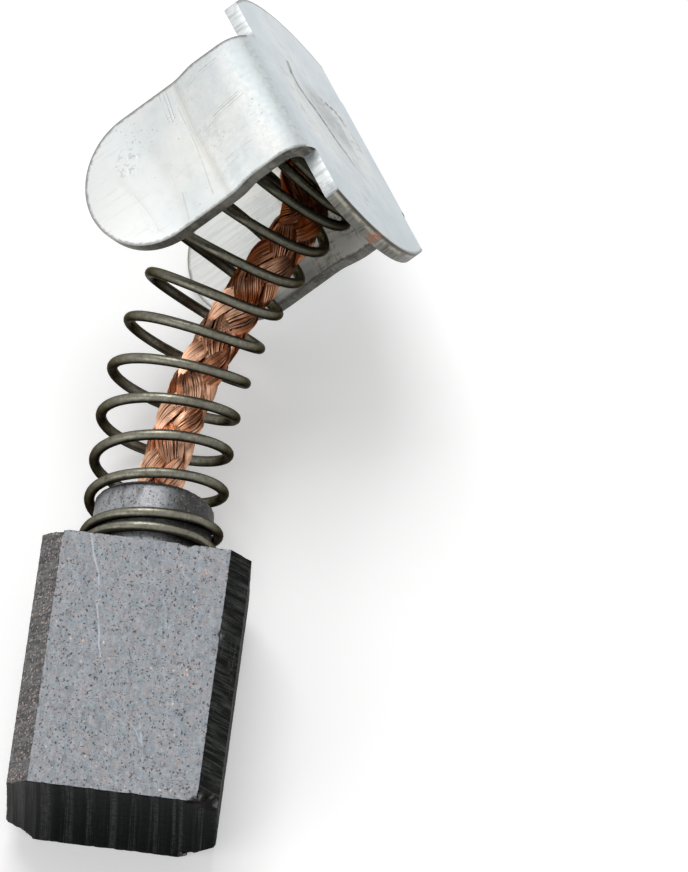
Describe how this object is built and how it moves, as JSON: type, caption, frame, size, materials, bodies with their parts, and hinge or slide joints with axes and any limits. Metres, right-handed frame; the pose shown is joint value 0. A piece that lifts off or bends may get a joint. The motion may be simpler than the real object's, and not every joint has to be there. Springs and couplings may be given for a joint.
{
  "type": "carbon brush",
  "caption": "Bevelled carbon block with a coiled pressure spring round a plaited copper shunt, ending in a folded sheet terminal with ears.",
  "frame": {"origin": "middle of the flat on the block's back face, which lies on the surface", "axes": "+X across the block, +Y along the block towards the spring and terminal, +Z out of the block's front face, up as it lies"},
  "size_m": [0.0179, 0.0448, 0.0169],
  "materials": {
    "carbon": "sawn and ground copper-graphite, fine dark pores and copper flecks, ragged edges",
    "spring_steel": "drawn spring wire, dark greenish grey, soft sheen",
    "copper_plait": "bare fine copper wires in plaited bundles",
    "plated_sheet": "bright plating with light scratches, fold marks and grey sheared edges"
  },
  "bodies": {
    "brush": {"carbon_block": "carbon", "pressure_spring": "spring_steel", "copper_shunt": "copper_plait"},
    "cap": {"terminal": "plated_sheet"}
  },
  "joints": [
    {"name": "spring_travel", "type": "slide", "parent": "brush", "child": "cap", "axis": [-0.2715, -0.9624, 0], "range_m": [0, 0.009], "stiffness_N_per_m": 285, "deforming": ["pressure_spring", "copper_shunt"]}
  ]
}
